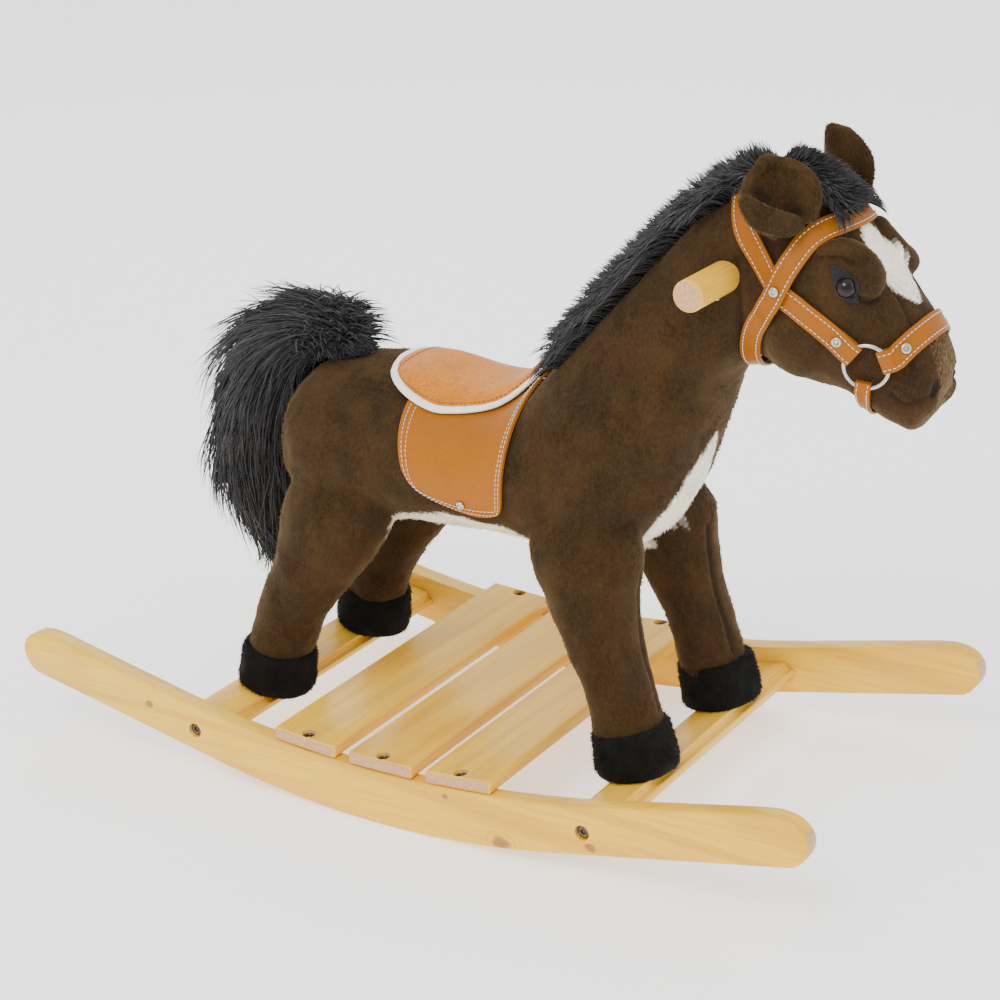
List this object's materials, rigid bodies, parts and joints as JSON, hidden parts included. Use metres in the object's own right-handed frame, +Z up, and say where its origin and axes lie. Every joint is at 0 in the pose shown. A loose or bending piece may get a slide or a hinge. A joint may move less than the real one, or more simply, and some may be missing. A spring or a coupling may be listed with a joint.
{
  "type": "plush rocking horse",
  "caption": "Brown plush toy horse with leatherette saddle and bridle, standing on two curved wooden rockers joined by slats and crossbars.",
  "frame": {"origin": "on the floor, in the middle of the object's length and width", "axes": "+X the way the horse faces, +Y its left side, +Z up"},
  "size_m": [0.8181, 0.3608, 0.5761],
  "materials": {
    "lacquered_pine": "satin",
    "frame_timber": "matte",
    "brown_plush": "matte",
    "black_plush": "matte",
    "black_hair": "matte",
    "tan_leatherette": "satin",
    "bronze_hardware": "satin",
    "bright_steel": "polished",
    "zinc_hardware": "satin",
    "glossy_eye": "gloss"
  },
  "bodies": {
    "horse_and_base": {"rocker_right": "lacquered_pine", "rocker_left": "lacquered_pine", "slat_rear": "lacquered_pine", "slat_middle": "lacquered_pine", "slat_front": "lacquered_pine", "crossbar_rear": "lacquered_pine", "crossbar_front": "lacquered_pine", "handle_dowel": "lacquered_pine", "spine_board": "frame_timber", "neck_post": "frame_timber", "leg_post_rear_right": "frame_timber", "leg_post_rear_left": "frame_timber", "leg_post_front_right": "frame_timber", "leg_post_front_left": "frame_timber", "body": "brown_plush", "head": "brown_plush", "leg_rear_right": "brown_plush", "leg_rear_left": "brown_plush", "leg_front_right": "brown_plush", "leg_front_left": "brown_plush", "hoof_rear_right": "black_plush", "hoof_rear_left": "black_plush", "hoof_front_right": "black_plush", "hoof_front_left": "black_plush", "mane": "black_hair", "forelock": "black_hair", "saddle_seat": "tan_leatherette", "saddle_flap_right": "tan_leatherette", "saddle_flap_left": "tan_leatherette", "crown_strap": "tan_leatherette", "brow_strap": "tan_leatherette", "nose_strap": "tan_leatherette", "chin_strap": "tan_leatherette", "slat_rear_screw_right": "bronze_hardware", "slat_rear_screw_left": "bronze_hardware", "slat_middle_screw_right": "bronze_hardware", "slat_middle_screw_left": "bronze_hardware", "slat_front_screw_right": "bronze_hardware", "slat_front_screw_left": "bronze_hardware", "rocker_bolt_rear_right": "bronze_hardware", "rocker_bolt_rear_left": "bronze_hardware", "rocker_bolt_front_right": "bronze_hardware", "rocker_bolt_front_left": "bronze_hardware", "rivet_crossing_right": "bright_steel", "rivet_crossing_left": "bright_steel", "rivet_cheek_right": "bright_steel", "rivet_cheek_left": "bright_steel", "rivet_nose_right": "bright_steel", "rivet_nose_left": "bright_steel", "hoof_bolt_rear_right": "zinc_hardware", "hoof_bolt_rear_left": "zinc_hardware", "hoof_bolt_front_right": "zinc_hardware", "hoof_bolt_front_left": "zinc_hardware", "eye_right": "glossy_eye", "eye_left": "glossy_eye"},
    "right_ear": {"ear_right": "brown_plush"},
    "left_ear": {"ear_left": "brown_plush"},
    "tail": {"tail": "black_hair"},
    "right_ring": {"bridle_ring_right": "bright_steel"},
    "left_ring": {"bridle_ring_left": "bright_steel"}
  },
  "joints": [
    {"name": "right_ear_bend", "type": "hinge", "parent": "horse_and_base", "child": "right_ear", "pos_m": [0.3025, -0.05, 0.52094], "axis": [0.7969, 0.4844, 0.361], "range_deg": [-15, 15], "stiffness_Nm_per_rad": 0.05},
    {"name": "left_ear_bend", "type": "hinge", "parent": "horse_and_base", "child": "left_ear", "pos_m": [0.3025, 0.05, 0.52094], "axis": [-0.7969, 0.4844, -0.361], "range_deg": [-15, 15], "stiffness_Nm_per_rad": 0.05},
    {"name": "tail_lift", "type": "hinge", "parent": "horse_and_base", "child": "tail", "pos_m": [-0.1345, 0, 0.35644], "axis": [0, 1, 0], "range_deg": [0, 50]},
    {"name": "right_ring_spin", "type": "hinge", "parent": "horse_and_base", "child": "right_ring", "pos_m": [0.36273, -0.04821, 0.41987], "axis": [0.2057, -0.9745, -0.0898], "continuous": true},
    {"name": "left_ring_spin", "type": "hinge", "parent": "horse_and_base", "child": "left_ring", "pos_m": [0.36273, 0.04821, 0.41987], "axis": [0.2057, 0.9745, -0.0898], "continuous": true}
  ]
}
